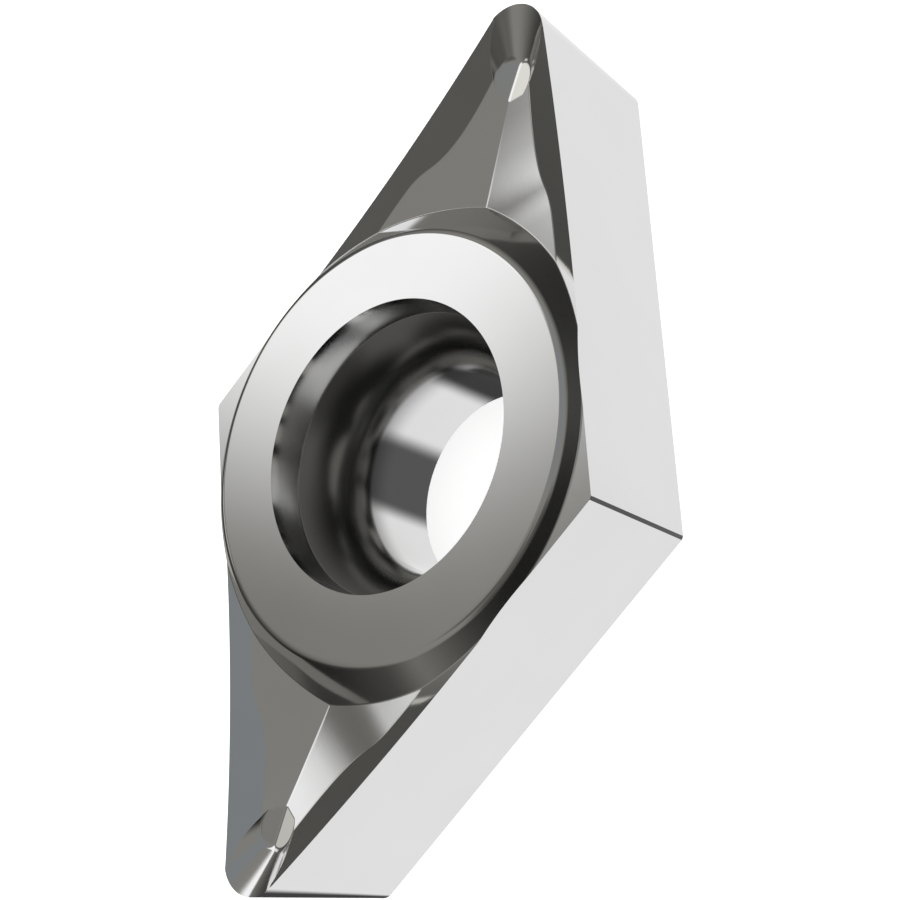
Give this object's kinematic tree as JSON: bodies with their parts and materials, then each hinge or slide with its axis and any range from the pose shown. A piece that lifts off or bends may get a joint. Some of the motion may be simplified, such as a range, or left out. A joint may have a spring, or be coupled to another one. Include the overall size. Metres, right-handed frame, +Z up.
{
  "type": "carbide insert",
  "caption": "Rhombic indexable cutting insert with 55 degree points, relieved flanks, a ground chip former around a round boss and a countersunk screw hole.",
  "frame": {"origin": "on the axis of the screw hole, in the flat bottom face", "axes": "+Z up through the screw hole, from the bottom face to the boss; +Y along the long diagonal to one point; +X along the short diagonal to one blunt corner"},
  "size_m": [0.0106, 0.0188, 0.004],
  "materials": {
    "insert": "ground and polished uncoated tungsten carbide"
  },
  "bodies": {
    "root": {"insert": "insert"}
  },
  "joints": []
}
